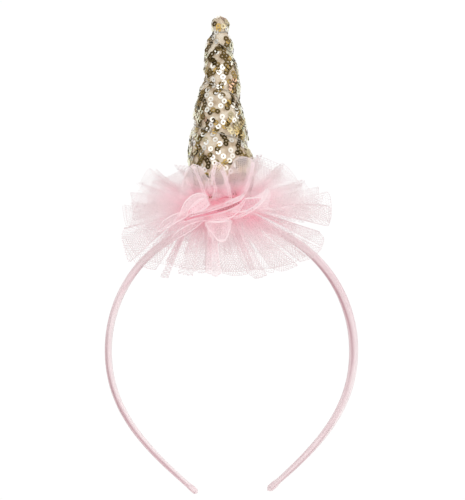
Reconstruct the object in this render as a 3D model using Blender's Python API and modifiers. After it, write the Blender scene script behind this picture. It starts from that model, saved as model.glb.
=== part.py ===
"""Costume headband with a gold horn and a tulle ruff.

A narrow satin-wrapped hair band stands upright in the XZ plane. A stuffed horn of sequin cloth, drawn in by
a thread that winds round it, sits on the crown. Four gathered tulle ruffles ring the foot of the horn.

Metres, +Z up, +X to the wearer's left as seen from the front, the front towards -Y.
The origin is the middle of the band's inner face at the crown, where the band sits on the head.
"""

import math
import random
from collections import namedtuple

import bmesh
import bpy
from mathutils import Vector

# The hair band
BAND_OUTER_WIDTH = 0.130
BAND_RISE = 0.0660  # from the widest line up to the crown, at the middle of the band
BAND_DROP = 0.0728  # from the widest line down to the tips
TIP_GAP = 0.0363  # between the middles of the two tips
TIP_LEAN_DEG = 49.0  # how far the tips lean in from the vertical
RIBBON_WIDTH = 0.0066  # the wrapped band from front to back, at the crown
BAND_THICKNESS = 0.0034  # at the crown
BAND_CORNER = 0.0012
BAND_TIP_SHARE = 0.68  # the section at the tips, as a share of the crown's
TIP_ROUND_LENGTH = 0.0030
BAND_STATIONS = 60

# The horn
HORN_HEIGHT = 0.1052
HORN_RADIUS = 0.0183
HORN_SHIFT_X = -0.0059  # the horn is sewn on a little to one side of the crown
GROOVE_PITCH = 0.0232  # height that the drawn-in spiral climbs in one turn
GROOVE_DEPTH = 0.0017
GROOVE_HALF_WIDTH = 0.0034
GROOVE_START_DEG = 227.0
HORN_SIDES = 30
HORN_STATIONS = 54
FOOT_FOLLOW_HEIGHT = 0.0030  # below this the foot bends down along the band

# The tulle ruffles
TULLE_WALL = 0.0010
TOP_LENGTH = 0.0285
UPPER_LENGTH = 0.0375
LOWER_LENGTH = 0.0375
BOTTOM_LENGTH = 0.0400
TOP_ROOT_HEIGHT = 0.0115  # above the foot of the horn
UPPER_ROOT_HEIGHT = 0.0087
LOWER_ROOT_HEIGHT = 0.0059
BOTTOM_ROOT_HEIGHT = 0.0031
PLEATS = 20
PLEAT_DEPTH = 0.0056  # half of what a pleat stands out at the edge
ROOT_PLEAT = 0.0003  # the same where the gathers are sewn down
RANDOM_SEED = 7

# Clearances between pieces that touch on the real thing
SEAT_GAP = 0.0003

# A row gives the radius of the horn at one height, both as shares of its full size
Section = namedtuple("Section", "height_share radius_share")
HORN_SECTIONS = (
    Section(0.00, 0.800),
    Section(0.03, 0.930),
    Section(0.09, 1.000),
    Section(0.20, 0.985),
    Section(0.29, 0.935),
    Section(0.485, 0.755),
    Section(0.68, 0.545),
    Section(0.86, 0.405),
    Section(0.91, 0.340),
    Section(0.955, 0.300),
    Section(0.985, 0.205),
    Section(1.00, 0.000),
)

# A row says how a ruffle stands at one place round the horn: 0 is +X and 270 is the front
Fan = namedtuple("Fan", "azimuth_deg elevation_deg length_share")
TOP_FANS = (
    Fan(0, 31, 1.02),
    Fan(45, 42, 0.98),
    Fan(90, 54, 0.95),
    Fan(135, 39, 0.92),
    Fan(180, 21, 0.97),
    Fan(225, 39, 0.86),
    Fan(270, 60, 0.84),
    Fan(315, 48, 0.95),
)
UPPER_FANS = (
    Fan(0, 12, 0.98),
    Fan(45, 18, 0.93),
    Fan(90, 22, 0.85),
    Fan(135, 15, 0.88),
    Fan(180, 5, 0.80),
    Fan(225, 13, 0.83),
    Fan(270, 20, 0.70),
    Fan(315, 17, 0.84),
)
LOWER_FANS = (
    Fan(0, 1, 1.00),
    Fan(45, -7, 0.95),
    Fan(90, -17, 0.90),
    Fan(135, -12, 0.90),
    Fan(180, -8, 0.82),
    Fan(225, -12, 0.88),
    Fan(270, -17, 0.78),
    Fan(315, -8, 0.90),
)
BOTTOM_FANS = (
    Fan(0, -13, 0.98),
    Fan(22, -31, 1.04),
    Fan(50, -48, 1.00),
    Fan(90, -60, 0.90),
    Fan(130, -51, 0.96),
    Fan(158, -37, 1.00),
    Fan(180, -23, 0.88),
    Fan(202, -37, 1.02),
    Fan(230, -51, 0.98),
    Fan(270, -60, 0.86),
    Fan(310, -47, 1.02),
    Fan(338, -29, 1.06),
)

Ruffle = namedtuple("Ruffle", "name root_height length fans")
RUFFLES = (
    Ruffle("tulle_ruffle_top", TOP_ROOT_HEIGHT, TOP_LENGTH, TOP_FANS),
    Ruffle("tulle_ruffle_upper", UPPER_ROOT_HEIGHT, UPPER_LENGTH, UPPER_FANS),
    Ruffle("tulle_ruffle_lower", LOWER_ROOT_HEIGHT, LOWER_LENGTH, LOWER_FANS),
    Ruffle("tulle_ruffle_bottom", BOTTOM_ROOT_HEIGHT, BOTTOM_LENGTH, BOTTOM_FANS),
)
RUFFLE_STATIONS = (0.0, 0.18, 0.55, 1.0)  # shares of a ruffle's length
PLEAT_WAVE = (-1.0, -0.55, 1.0, 0.55)  # the four corners of one pleat
PLEAT_SPREAD = 0.22  # how unevenly the pleats are spaced
EDGE_SPREAD = 0.06  # how unevenly the pleats are cut


def clear_scene():
    for old in list(bpy.data.objects):
        bpy.data.objects.remove(old)


def new_collection(name):
    collection = bpy.data.collections.new(name)
    bpy.context.scene.collection.children.link(collection)
    return collection


def principled(name, colour, roughness, metallic=0.0):
    material = bpy.data.materials.new(name)
    material.use_nodes = True
    shader = material.node_tree.nodes["Principled BSDF"]
    shader.inputs["Base Color"].default_value = (*colour, 1.0)
    shader.inputs["Roughness"].default_value = roughness
    shader.inputs["Metallic"].default_value = metallic
    return material


def mixed(low, high, share):
    return low + (high - low) * share


def eased(share):
    return share * share * (3.0 - 2.0 * share)


def read_table(rows, at):
    """The second column of rows at a value of the first, along a smooth curve through them."""
    last = len(rows) - 1
    place = next((i for i in range(last) if at <= rows[i + 1][0]), last - 1)
    before, left, right, after = (rows[min(max(place + k, 0), last)] for k in (-1, 0, 1, 2))
    share = (at - left[0]) / (right[0] - left[0])
    width = right[0] - left[0]
    slope_left = (right[1] - before[1]) / (right[0] - before[0]) * width
    slope_right = (after[1] - left[1]) / (after[0] - left[0]) * width
    squared, cubed = share**2, share**3
    return (
        (2 * cubed - 3 * squared + 1) * left[1]
        + (cubed - 2 * squared + share) * slope_left
        + (3 * squared - 2 * cubed) * right[1]
        + (cubed - squared) * slope_right
    )


def band_middle(share):
    """A point of the band's middle line in XZ. Share 0 is the crown and 1 the tip on the +X side."""
    half_width = (BAND_OUTER_WIDTH - BAND_THICKNESS) / 2
    middle_top = BAND_THICKNESS / 2
    widest_z = middle_top - BAND_RISE
    arc_share = BAND_RISE / (BAND_RISE + BAND_DROP)
    if share <= arc_share:
        angle = math.pi / 2 * share / arc_share
        return Vector((half_width * math.sin(angle), widest_z + BAND_RISE * math.cos(angle)))
    along = (share - arc_share) / (1 - arc_share)
    lean = math.radians(TIP_LEAN_DEG)
    side = Vector((half_width, widest_z))
    tip = Vector((TIP_GAP / 2, widest_z - BAND_DROP))
    side_handle = side - Vector((0, 0.44 * BAND_DROP))
    tip_handle = tip + Vector((math.sin(lean), math.cos(lean))) * 0.45 * BAND_DROP
    rest = 1 - along
    return (
        side * rest**3
        + side_handle * 3 * rest**2 * along
        + tip_handle * 3 * rest * along**2
        + tip * along**3
    )


def band_size_share(share, from_tip):
    """The band's section, as a share of the crown's: it thins towards the tips, which are rounded."""
    size = mixed(1.0, BAND_TIP_SHARE, eased(share))
    if from_tip >= TIP_ROUND_LENGTH:
        return size
    rounded = 1 - from_tip / TIP_ROUND_LENGTH
    return size * mixed(1.0, 0.45, rounded**2)


def rounded_section(width, height, corner, steps=2):
    """Points of a rectangle with rounded corners, anticlockwise."""
    points = []
    for quarter, (sx, sy) in enumerate(((1, 1), (-1, 1), (-1, -1), (1, -1))):
        centre = Vector((sx * (width / 2 - corner), sy * (height / 2 - corner)))
        for step in range(steps + 1):
            angle = math.pi / 2 * (quarter + step / steps)
            points.append(centre + corner * Vector((math.cos(angle), math.sin(angle))))
    return points


def poly_curve(name, points, sizes=None, cyclic=False):
    """A flat curve in its own XY plane through these points."""
    curve = bpy.data.curves.new(name, "CURVE")
    curve.dimensions = "2D"
    curve.fill_mode = "NONE"
    spline = curve.splines.new("POLY")
    spline.points.add(len(points) - 1)
    spline.use_cyclic_u = cyclic
    for i, point in enumerate(points):
        spline.points[i].co = (point.x, point.y, 0.0, 1.0)
        spline.points[i].radius = sizes[i] if sizes else 1.0
    return curve


def make_headband(collection, guides, material):
    """The wrapped band: its rounded section runs along the middle line from tip to tip."""
    section = rounded_section(BAND_THICKNESS, RIBBON_WIDTH, BAND_CORNER)[::-1]
    profile = bpy.data.objects.new("band_section", poly_curve("band_section", section, cyclic=True))
    profile.hide_render = True
    guides.objects.link(profile)

    half = [band_middle(i / BAND_STATIONS * 2) for i in range(BAND_STATIONS // 2 + 1)]
    extra = half[-1] + (half[-2] - half[-1]).normalized() * TIP_ROUND_LENGTH
    half.insert(-1, extra)
    lengths = [0.0]
    for before, after in zip(half, half[1:]):
        lengths.append(lengths[-1] + (after - before).length)
    sizes = [band_size_share(at / lengths[-1], lengths[-1] - at) for at in lengths]
    left = [Vector((-point.x, point.y)) for point in reversed(half[1:])]
    points = left + half
    sizes = sizes[:0:-1] + sizes

    curve = poly_curve("headband", points, sizes)
    curve.bevel_mode = "OBJECT"
    curve.bevel_object = profile
    curve.use_fill_caps = True
    curve.materials.append(material)
    band = bpy.data.objects.new("headband", curve)
    band.rotation_euler = (math.pi / 2, 0, 0)
    collection.objects.link(band)


def horn_foot_z():
    return BAND_THICKNESS + SEAT_GAP


def crown_fall(x):
    """How far the top of the band has fallen below the crown at this X."""
    half_width = BAND_OUTER_WIDTH / 2
    rise = BAND_RISE + BAND_THICKNESS / 2
    return rise * (1 - math.sqrt(max(0.0, 1 - (x / half_width) ** 2)))


def horn_plain_radius(height):
    """The horn's radius at this height above its foot, before the spiral draws it in."""
    share = min(max(height / HORN_HEIGHT, 0.0), 1.0)
    return max(0.0, HORN_RADIUS * read_table(HORN_SECTIONS, share))


def groove_draw(height, angle):
    """How far the wound thread draws the horn in at this height and angle round it."""
    turns = height / GROOVE_PITCH + (angle - math.radians(GROOVE_START_DEG)) / (2 * math.pi)
    from_groove = (turns - round(turns)) * GROOVE_PITCH
    dip = math.exp(-((from_groove / GROOVE_HALF_WIDTH) ** 2))
    slim = min(1.0, horn_plain_radius(height) / (0.4 * HORN_RADIUS))
    low = min(1.0, height / (1.2 * GROOVE_PITCH))
    return GROOVE_DEPTH * dip * slim * low


def horn_outline(steps):
    """Heights and radii from the middle of the horn's foot up to its tip, evenly spaced along the outline."""
    fine = [(0.0, 0.0)]
    for i in range(401):
        height = HORN_HEIGHT * i / 400
        fine.append((height, horn_plain_radius(height)))
    lengths = [0.0]
    for before, after in zip(fine, fine[1:]):
        lengths.append(lengths[-1] + math.dist(before, after))
    outline = []
    for step in range(steps + 1):
        target = lengths[-1] * step / steps
        at = next(i for i, length in enumerate(lengths) if length >= target - 1e-12)
        before = max(at - 1, 0)
        span = lengths[at] - lengths[before]
        share = (target - lengths[before]) / span if span else 0.0
        height = mixed(fine[before][0], fine[at][0], share)
        radius = mixed(fine[before][1], fine[at][1], share)
        outline.append((height, radius))
    return outline


def make_horn(collection, material):
    """A ball drawn out into the stuffed cone, with the spiral that the wound thread draws in."""
    mesh = bpy.data.meshes.new("horn")
    shape = bmesh.new()
    bmesh.ops.create_uvsphere(shape, u_segments=HORN_SIDES, v_segments=HORN_STATIONS, radius=1.0)
    outline = horn_outline(HORN_STATIONS)
    for corner in shape.verts:
        from_foot = math.acos(max(-1.0, min(1.0, -corner.co.z))) / math.pi
        height, radius = outline[round(from_foot * HORN_STATIONS)]
        angle = math.atan2(corner.co.y, corner.co.x)
        radius = max(0.0, radius - groove_draw(height, angle))
        x = radius * math.cos(angle)
        follow = max(0.0, 1 - height / FOOT_FOLLOW_HEIGHT)
        drop = crown_fall(x + HORN_SHIFT_X) * follow
        corner.co = (x, radius * math.sin(angle), height - drop)
    shape.to_mesh(mesh)
    shape.free()
    mesh.materials.append(material)
    mesh.shade_smooth()
    horn = bpy.data.objects.new("horn", mesh)
    horn.location = (HORN_SHIFT_X, 0, horn_foot_z())
    collection.objects.link(horn)


def read_fans(fans, azimuth_deg):
    """Elevation in degrees and length share at this azimuth, between the table's rows."""
    around = list(fans) + [Fan(360 + fans[0].azimuth_deg, *fans[0][1:])]
    azimuth = azimuth_deg % 360
    place = next(i for i in range(len(around) - 1) if azimuth <= around[i + 1].azimuth_deg)
    left, right = around[place], around[place + 1]
    share = eased((azimuth - left.azimuth_deg) / (right.azimuth_deg - left.azimuth_deg))
    elevation = mixed(left.elevation_deg, right.elevation_deg, share)
    return elevation, mixed(left.length_share, right.length_share, share)


def pleat_corners():
    """(azimuth in degrees, wave) for each corner of each pleat, unevenly spaced round the horn.

    All the ruffles share these places, so that their pleats lie in one another.
    """
    draw = random.Random(RANDOM_SEED)
    widths = [1 + draw.uniform(-PLEAT_SPREAD, PLEAT_SPREAD) for _ in range(PLEATS)]
    per_width = 360 / sum(widths)
    corners = []
    start = 0.0
    for width in widths:
        deepness = draw.uniform(0.75, 1.0)
        for k, wave in enumerate(PLEAT_WAVE):
            azimuth = (start + width * k / len(PLEAT_WAVE)) * per_width
            corners.append((azimuth, wave * deepness))
        start += width
    return corners


def ruffle_root_radius(ruffle, elevation):
    """The seam's radius: the gathers lie against the widest part of the horn beside them."""
    half_bulk = TULLE_WALL / 2 + ROOT_PLEAT
    beside = half_bulk * math.cos(elevation)
    heights = [ruffle.root_height + beside * k for k in (-1, 0, 1)]
    widest = max(horn_plain_radius(height) for height in heights)
    return widest + SEAT_GAP + half_bulk * abs(math.sin(elevation))


def ruffle_point(ruffle, corner, cut, share):
    """A point of the ruffle's middle surface, at a share of the way from its seam to its edge."""
    azimuth_deg, wave = corner
    elevation_deg, length_share = read_fans(ruffle.fans, azimuth_deg)
    azimuth, elevation = math.radians(azimuth_deg), math.radians(elevation_deg)
    outward = Vector((math.cos(azimuth), math.sin(azimuth), 0))
    upward = Vector((0, 0, 1))
    along = outward * math.cos(elevation) + upward * math.sin(elevation)
    across = upward * math.cos(elevation) - outward * math.sin(elevation)
    reach = ruffle.length * length_share * cut * share
    depth = mixed(ROOT_PLEAT, PLEAT_DEPTH, share)
    root = outward * ruffle_root_radius(ruffle, elevation) + upward * ruffle.root_height
    return root + along * reach + across * (wave * depth)


def make_ruffle(collection, material, ruffle):
    """A ring of cloth, extruded outwards station by station and pleated, then given its wall."""
    corners = pleat_corners()
    draw = random.Random(f"{ruffle.name} {RANDOM_SEED}")
    cuts = [1 + draw.uniform(-EDGE_SPREAD, EDGE_SPREAD) for _ in range(PLEATS)]
    mesh = bpy.data.meshes.new(ruffle.name)
    cloth = bmesh.new()
    ring = bmesh.ops.create_circle(cloth, segments=len(corners), radius=1.0)["verts"]
    cloth.verts.ensure_lookup_table()
    edges = list(cloth.edges)
    for station, share in enumerate(RUFFLE_STATIONS):
        if station:
            grown = bmesh.ops.extrude_edge_only(cloth, edges=edges)["geom"]
            edges = [part for part in grown if isinstance(part, bmesh.types.BMEdge)]
            fresh = [part for part in grown if isinstance(part, bmesh.types.BMVert)]
            edges = [edge for edge in edges if all(end in fresh for end in edge.verts)]
            ring = ring_in_order(fresh, edges, ring)
        for place, vertex in enumerate(ring):
            cut = cuts[place // len(PLEAT_WAVE)]
            vertex.co = ruffle_point(ruffle, corners[place], cut, share)
    bmesh.ops.recalc_face_normals(cloth, faces=cloth.faces)
    cloth.to_mesh(mesh)
    cloth.free()
    mesh.materials.append(material)
    piece = bpy.data.objects.new(ruffle.name, mesh)
    piece.location = (HORN_SHIFT_X, 0, horn_foot_z())
    wall = piece.modifiers.new("wall", "SOLIDIFY")
    wall.thickness = TULLE_WALL
    wall.offset = 0
    collection.objects.link(piece)


def ring_in_order(fresh, edges, previous):
    """The extruded vertices in the order of the ring that they came from."""
    linked = {}
    rim = set(edges)
    for vertex in fresh:
        for edge in vertex.link_edges:
            if edge not in rim:
                linked[edge.other_vert(vertex)] = vertex
    return [linked[vertex] for vertex in previous]


def main():
    clear_scene()
    parts = new_collection("unicorn_horn_headband")
    guides = new_collection("guides")
    satin = principled("pink_satin", (0.86, 0.62, 0.65), 0.42)
    sequins = principled("gold_sequins", (0.62, 0.47, 0.24), 0.30, 0.8)
    tulle = principled("pink_tulle", (0.90, 0.50, 0.58), 0.85)
    make_headband(parts, guides, satin)
    make_horn(parts, sequins)
    for ruffle in RUFFLES:
        make_ruffle(parts, tulle, ruffle)


main()
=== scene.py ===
import math
import random

import bpy
import numpy as np
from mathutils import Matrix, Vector


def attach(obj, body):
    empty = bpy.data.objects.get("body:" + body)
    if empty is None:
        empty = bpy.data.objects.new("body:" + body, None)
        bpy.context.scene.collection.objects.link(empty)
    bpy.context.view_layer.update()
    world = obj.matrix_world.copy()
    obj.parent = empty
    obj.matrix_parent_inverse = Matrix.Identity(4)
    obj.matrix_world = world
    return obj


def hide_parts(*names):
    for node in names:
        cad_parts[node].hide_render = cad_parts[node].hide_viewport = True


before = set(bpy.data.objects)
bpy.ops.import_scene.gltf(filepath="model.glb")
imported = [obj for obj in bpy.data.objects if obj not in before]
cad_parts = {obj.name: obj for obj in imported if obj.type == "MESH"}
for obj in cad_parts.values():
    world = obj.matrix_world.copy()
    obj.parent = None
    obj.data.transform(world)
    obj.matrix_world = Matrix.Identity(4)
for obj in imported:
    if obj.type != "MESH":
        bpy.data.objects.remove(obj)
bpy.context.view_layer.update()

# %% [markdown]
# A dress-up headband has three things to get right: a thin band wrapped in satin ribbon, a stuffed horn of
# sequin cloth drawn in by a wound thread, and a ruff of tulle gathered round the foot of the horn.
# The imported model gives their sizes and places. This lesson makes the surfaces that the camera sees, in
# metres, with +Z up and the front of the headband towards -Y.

scene = bpy.context.scene

# %% [markdown]
# The photograph is 465 pixels wide and 500 high. The band is 252 pixels across and 130 mm wide, so a pixel is
# 0.516 mm on the plane of the band. The middle of the band's inner face at the crown is at (231, 226).
# With these numbers, a place that was seen in the picture can be written straight into the model.

# %% From the picture to the model
MM = 0.001
PIXEL = 0.516 * MM
PICTURE_WIDE, PICTURE_HIGH = 465, 500
CROWN_ACROSS, CROWN_DOWN = 231, 226
VIEW_X, VIEW_Z = (PICTURE_WIDE / 2 - CROWN_ACROSS) * PIXEL, (CROWN_DOWN - PICTURE_HIGH / 2) * PIXEL
CAMERA_DISTANCE = 1.25
SENSOR = 36.0


def at_pixel(across, down, y=0.0):
    """The point at depth y that the camera shows at this pixel of the picture."""
    nearer = (CAMERA_DISTANCE + y) / CAMERA_DISTANCE
    x, z = (across - CROWN_ACROSS) * PIXEL, (CROWN_DOWN - down) * PIXEL
    return Vector((VIEW_X + (x - VIEW_X) * nearer, y, VIEW_Z + (z - VIEW_Z) * nearer))


print("the tip of the horn is near", at_pixel(219.5, 15))

# %% [markdown]
# A long lens far away gives the flat, front-on look of a catalogue picture. Blender fits the sensor's width to
# the longer side of the picture, which is the height here, so the lens length follows from that side.

# %% Camera
bpy.ops.object.camera_add(location=(VIEW_X, -CAMERA_DISTANCE, VIEW_Z), rotation=(math.pi / 2, 0, 0))
camera = bpy.context.object
camera.name = "front_camera"
camera.data.sensor_width = SENSOR
camera.data.lens = SENSOR * CAMERA_DISTANCE / (PICTURE_HIGH * PIXEL)
camera.data.clip_start = 0.01
scene.camera = camera
print("lens", round(camera.data.lens, 1), "mm")

# %% [markdown]
# A material here is a small net of nodes round one Principled shader. These helpers make the shader and hand
# back its node tree, join one node to the next, and blend colours, so that each recipe reads as a list of steps.

# %% Helpers for materials


def new_material(name):
    """A material, its node tree and its Principled shader."""
    material = bpy.data.materials.new(name)
    material.use_nodes = True
    return material, material.node_tree, material.node_tree.nodes["Principled BSDF"]


def set_inputs(tree, node, inputs):
    """Sets a node's inputs by their names or numbers. A value may be another node's output."""
    for key, value in inputs.items():
        if isinstance(value, bpy.types.NodeSocket):
            tree.links.new(value, node.inputs[key])
        else:
            node.inputs[key].default_value = value


def add_node(tree, kind, settings=None, **inputs):
    """A node with its settings and inputs. An input called n3 is the one with the number 3."""
    node = tree.nodes.new(kind)
    for key, value in (settings or {}).items():
        setattr(node, key, value)
    numbered = {int(key[1:]) if key[0] == "n" and key[1:].isdigit() else key: inputs[key] for key in inputs}
    set_inputs(tree, node, numbered)
    return node


def ramp(tree, source, stops):
    """A colour ramp with these (place, colour) stops."""
    node = add_node(tree, "ShaderNodeValToRGB", Fac=source)
    while len(node.color_ramp.elements) < len(stops):
        node.color_ramp.elements.new(0.5)
    for element, (place, colour) in zip(node.color_ramp.elements, stops):
        element.position = place
        element.color = (*colour, 1.0)
    return node.outputs["Color"]


def blend(tree, share, first, second):
    """A colour that goes from the first to the second as the share goes from 0 to 1."""
    return add_node(tree, "ShaderNodeMix", {"data_type": "RGBA"}, n0=share, n6=first, n7=second).outputs[2]


def cloth_uv(tree):
    """The place on the flat cloth, in metres."""
    return add_node(tree, "ShaderNodeUVMap", {"uv_map": "cloth"}).outputs["UV"]


def channels(tree, layer):
    """The red, green and blue of a colour attribute."""
    stored = add_node(tree, "ShaderNodeVertexColor", {"layer_name": layer})
    return add_node(tree, "ShaderNodeSeparateColor", n0=stored.outputs["Color"]).outputs


print("helpers ready")

# %% [markdown]
# Sequins are small mirrors, so what stands round them matters as much as the lamps. One broad lamp over the
# camera makes every sequin that faces it flash white, while those turned aside show the darker room. The world
# is white where the camera looks past the headband, as on the photographer's sweep of white paper. As a source
# of light it is bright behind the headband and dimmer in front, which gives the horn its pale outline. A pale
# floor lies well below the tips, because the headband is held up as it is worn.

# %% Floor, world and lamps
bpy.ops.mesh.primitive_circle_add(vertices=96, radius=1.1, fill_type="NGON", location=(0, 0, -0.32))
floor = bpy.context.object
floor.name = "pale_floor"
paper, tree, shader = new_material("pale_paper")
set_inputs(tree, shader, {"Base Color": (0.92, 0.91, 0.90, 1), "Roughness": 0.9})
floor.data.materials.append(paper)


def add_lamp(name, place, aim, size, power, colour=(1, 1, 1)):
    """A soft lamp, so wide and so high, that points at a place on the headband."""
    bpy.ops.object.light_add(type="AREA", location=place)
    lamp = bpy.context.object
    lamp.name = name
    lamp.rotation_euler = (Vector(aim) - Vector(place)).to_track_quat("-Z", "Y").to_euler()
    lamp.data.shape = "RECTANGLE"
    lamp.data.size, lamp.data.size_y = size
    lamp.visible_camera = False
    lamp.data.energy = power
    lamp.data.color = colour
    return lamp


add_lamp("key_over_camera", (-0.05, -1.36, 0.46), (0, 0, 0.03), (2.2, 0.9), 12.5)
add_lamp("soft_from_right", (1.25, -0.35, 0.45), (0, 0, -0.02), (0.7, 0.9), 4.0)
add_lamp("soft_from_above", (-0.15, 0.25, 1.35), (0, 0, 0), (1.0, 1.0), 4.0)

world = bpy.data.worlds.new("white_room")
scene.world = world
world.use_nodes = True
tree = world.node_tree
tree.nodes.clear()
direction = add_node(tree, "ShaderNodeTexCoord")
towards_back = add_node(tree, "ShaderNodeSeparateXYZ", n0=direction.outputs["Generated"])
sweep = add_node(
    tree, "ShaderNodeMapRange", {"interpolation_type": "SMOOTHSTEP"},
    n0=towards_back.outputs["Y"], n1=-0.5, n2=0.7, n3=0.42, n4=0.95,
)
lighting = add_node(tree, "ShaderNodeBackground", Color=(1.0, 0.985, 0.97, 1), Strength=sweep.outputs[0])
seen = add_node(tree, "ShaderNodeBackground", Color=(1, 1, 1, 1), Strength=1.02)
path = add_node(tree, "ShaderNodeLightPath")
either = add_node(
    tree, "ShaderNodeMixShader", n0=path.outputs["Is Camera Ray"], n1=lighting.outputs[0], n2=seen.outputs[0]
)
add_node(tree, "ShaderNodeOutputWorld", Surface=either.outputs[0])
scene.view_settings.view_transform = "Standard"
scene.view_settings.look = "None"
scene.cycles.transparent_max_bounces = 64
scene.cycles.max_bounces = 40
scene.cycles.diffuse_bounces = 32
scene.cycles.transmission_bounces = 32

# %% [markdown]
# Satin shines along one direction, because its long smooth threads all lie the same way. The ribbon's own UV
# map runs along the band in U and across the ribbon in V, both in metres. Fine threads become a very low bump
# that is stretched along U, and slow noise makes the faint puckers and colour drift of a ribbon pulled tight.
# A colour attribute called "fold" holds painted shade in red, which darkens the long crease as its shadow,
# and a painted highlight in green, which pales the ribbon along one edge of the core.

# %% Satin ribbon
satin, tree, shader = new_material("pale_pink_satin")
uv, fold = cloth_uv(tree), channels(tree, "fold")
threads = add_node(tree, "ShaderNodeMapping", n0=uv, Scale=(300.0, 9000.0, 1.0))
thread_noise = add_node(tree, "ShaderNodeTexNoise", {"noise_dimensions": "2D"}, n0=threads.outputs[0], Scale=1.0)
drift = add_node(tree, "ShaderNodeMapping", n0=uv, Scale=(60.0, 380.0, 1.0))
drift_noise = add_node(tree, "ShaderNodeTexNoise", {"noise_dimensions": "2D"}, n0=drift.outputs[0], Scale=1.0)
slow = drift_noise.outputs["Fac"]
shade = ramp(tree, slow, [(0.30, (0.78, 0.615, 0.645)), (0.52, (0.82, 0.675, 0.70)), (0.75, (0.85, 0.72, 0.74))])
# painted highlight: the green of "fold" pales the satin to a near-white pink
satin_painted_highlight = blend(tree, fold["Green"], shade, (0.86, 0.785, 0.795, 1))
low_bump = add_node(tree, "ShaderNodeBump", Strength=0.05, Distance=0.00006, Height=thread_noise.outputs["Fac"])
pucker = add_node(tree, "ShaderNodeBump", Strength=0.12, Distance=0.0004, Height=slow, Normal=low_bump.outputs[0])
# The red of "fold" mixes in painted shade, a dark pink for the shadow in the crease.
set_inputs(tree, shader, {
    "Base Color": blend(tree, fold["Red"], satin_painted_highlight, (0.50, 0.30, 0.335, 1)),
    "Roughness": 0.42,
    "Sheen Weight": 0.25,
    "Sheen Roughness": 0.35,
    "Anisotropic": 0.5,
    "Normal": pucker.outputs[0],
})
print("satin made")

# %% [markdown]
# The band is a thin springy core with a ribbon folded round it lengthwise. From the front one sees its narrow
# edge, with the line where the ribbon laps over itself. The ribbon is made as what it is: a flat grid, cut to
# its real length and width, whose rows are laid round the core's rounded section and lap 1.6 mm at the front.
# A curve with a bevel would give the tube, but not the lapped edge that catches the light in the photograph.

# %% The line that the band follows
BAND_WIDTH = 130 * MM
BAND_RISE = 66.0 * MM
BAND_DROP = 72.8 * MM
BAND_THICK = 3.4 * MM
BAND_DEEP = 6.6 * MM
TIP_GAP = 36.3 * MM
TIP_LEAN = math.radians(49)


def band_middle(share):
    """A point (x, z) on the band's middle line: -1 is the left tip, 0 the crown and 1 the right tip."""
    half, top = (BAND_WIDTH - BAND_THICK) / 2, BAND_THICK / 2
    widest = top - BAND_RISE
    part, sign = abs(share), math.copysign(1, share)
    arc = BAND_RISE / (BAND_RISE + BAND_DROP)
    if part <= arc:
        turn = math.pi / 2 * part / arc
        return Vector((sign * half * math.sin(turn), widest + BAND_RISE * math.cos(turn)))
    t = (part - arc) / (1 - arc)
    side, tip = Vector((half, widest)), Vector((TIP_GAP / 2, widest - BAND_DROP))
    below = side - Vector((0, 0.44 * BAND_DROP))
    above = tip + Vector((math.sin(TIP_LEAN), math.cos(TIP_LEAN))) * 0.45 * BAND_DROP
    point = side * (1 - t) ** 3 + below * 3 * (1 - t) ** 2 * t + above * 3 * (1 - t) * t * t + tip * t**3
    return Vector((sign * point.x, point.y))


def band_frame(share):
    """The middle point and the outward direction of the band in XZ."""
    step = 0.002
    ahead, behind = band_middle(min(share + step, 1)), band_middle(max(share - step, -1))
    along = (ahead - behind).normalized()
    return band_middle(share), Vector((-along.y, along.x))


print("tips at", band_middle(-1), band_middle(1))

# %% [markdown]
# The ribbon isn't wrapped evenly: it is pulled thin near the tips and lies thickest on the right, and its crease
# wanders from one edge of the band to the other. Two tables say so along the band.

# %% The ribbon's section
RIBBON_ROWS = 300
RIBBON_AROUND = 48
LAP = 1.6 * MM
RIBBON_WALL = 0.22 * MM
RIBBON_REACH = 1.985  # of the 2 shares from tip to tip
RIBBON_ROUND = 2 * (BAND_THICK + BAND_DEEP) * 0.86
RIBBON_HALF_LONG = 186 * MM
SECTION_POWER = 2 / 3.4
CREASE_HALF_WIDE = 0.62

# share along the band, width of the wrap as a share of the core's thickness
WRAP_WIDTH = (
    (-1.0, 0.74), (-0.9, 0.84), (-0.75, 0.98), (-0.46, 1.06), (-0.3, 1.14), (0.0, 1.0), (0.2, 1.22),
    (0.32, 1.36), (0.46, 1.38), (0.6, 1.26), (0.8, 1.06), (0.9, 0.92), (1.0, 0.74),
)
# share along the band, how far outwards the crease lies in millimetres, how deep it is and how dark its painted
# shade, from 0 to 1
CREASE = (
    (-1.0, 0.45, 0.5), (-0.9, 0.35, 0.9), (-0.77, 0.35, 1.0), (-0.6, 0.60, 0.9), (-0.48, 0.95, 0.55),
    (-0.40, 1.15, 0.25), (-0.34, 0.30, 0.05), (-0.29, -1.30, 0.35), (-0.24, -1.30, 0.6), (-0.19, -1.30, 0.3),
    (0.0, 0.0, 0.0), (0.2, -1.60, 0.6), (0.28, -1.45, 1.0), (0.37, -1.25, 1.0), (0.46, -0.95, 0.8),
    (0.55, -0.75, 0.5), (0.68, -0.20, 0.3), (0.8, 0.75, 0.4), (0.9, 0.85, 0.5), (1.0, 0.4, 0.3),
)


def read_rows(rows, at, column):
    """A number read between the rows of a table, whose first column says where each row lies."""
    return float(np.interp(at, [row[0] for row in rows], [row[column] for row in rows]))


def ribbon_section(share, lift, along):
    """A point of the rounded section: share 0 to 1 goes once round it from the middle of the front edge."""
    thick = BAND_THICK * read_rows(WRAP_WIDTH, along, 1) - RIBBON_WALL
    deep = BAND_DEEP * tip_size(along) - RIBBON_WALL
    c, s = math.cos(2 * math.pi * share), math.sin(2 * math.pi * share)
    forward = math.copysign(abs(c) ** SECTION_POWER, c) * (deep / 2 + lift)
    outward = math.copysign(abs(s) ** SECTION_POWER, s) * (thick / 2 + lift)
    return outward, -forward


def tip_size(share):
    """The band thins a little towards its tips."""
    return 1 - 0.32 * (3 * share**2 - 2 * abs(share) ** 3)


print("section at the crown", ribbon_section(0.0, 0.0, 0.0))

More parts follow.
